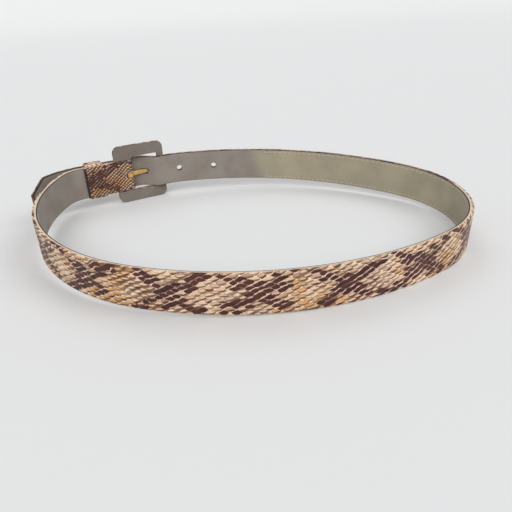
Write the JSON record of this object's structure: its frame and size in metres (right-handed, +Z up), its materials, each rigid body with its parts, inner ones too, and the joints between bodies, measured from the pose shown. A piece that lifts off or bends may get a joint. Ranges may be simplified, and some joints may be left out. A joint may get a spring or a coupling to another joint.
{
  "type": "money belt",
  "caption": "Snakeskin-print leather money belt, fastened in a loop, with a covered prong buckle, punched holes, keeper loop and a zip pocket inside.",
  "frame": {"origin": "centre of the belt's box on the surface that it stands on", "axes": "+X along the buckle, from the heel bar to the bar that the prong rests on; +Y out of the loop at the buckle; +Z up, across the strap's width"},
  "size_m": [0.2481, 0.223, 0.0441],
  "materials": {
    "snake_leather": "printed and embossed snakeskin pattern, slight gloss",
    "grey_lining": "warm grey suede-like split leather",
    "olive_lining": "olive suede-like split leather with light stitching",
    "filler_board": "bonded leather board",
    "pocket_cloth": "thin woven pocketing",
    "zip_tape": "woven zip tape",
    "zip_brass": "satin brass",
    "frame_steel": "plain steel",
    "prong_brass": "polished gold-coloured brass"
  },
  "bodies": {
    "belt": {"strap_cover": "snake_leather", "strap_core": "filler_board", "turnback_lining": "grey_lining", "buckle_end_lining": "grey_lining", "pocket_lining": "olive_lining", "tip_lining": "grey_lining", "pocket_bag": "pocket_cloth", "zip_tape_upper": "zip_tape", "zip_tape_lower": "zip_tape", "zip_teeth_upper": "zip_brass", "zip_teeth_lower": "zip_brass", "zip_top_stop": "zip_brass", "zip_bottom_stop": "zip_brass", "keeper_loop": "snake_leather"},
    "buckle": {"buckle_frame": "frame_steel", "buckle_cover": "snake_leather", "buckle_backing": "grey_lining", "heel_bar": "frame_steel"},
    "prong": {"prong": "prong_brass"},
    "slider": {"zip_slider": "zip_brass"},
    "pull": {"zip_pull": "zip_brass"}
  },
  "joints": [
    {"name": "buckle_rock", "type": "hinge", "parent": "belt", "child": "buckle", "pos_m": [-0.04452, 0.10301, 0.0211], "axis": [0, -0.0437, 0.999], "range_deg": [0, 2]},
    {"name": "prong_play", "type": "hinge", "parent": "buckle", "child": "prong", "pos_m": [-0.04452, 0.10301, 0.0211], "axis": [0, -0.0437, 0.999], "range_deg": [0, 1]},
    {"name": "zip_run", "type": "hinge", "parent": "belt", "child": "slider", "pos_m": [0.03992, 0.07281, 0.01978], "axis": [0, -0.0437, 0.999], "range_deg": [-44.7, 0]},
    {"name": "pull_swing", "type": "hinge", "parent": "slider", "child": "pull", "pos_m": [0.05044, -0.10511, 0.012], "axis": [0, -0.0437, 0.999], "range_deg": [-170, 0]}
  ]
}
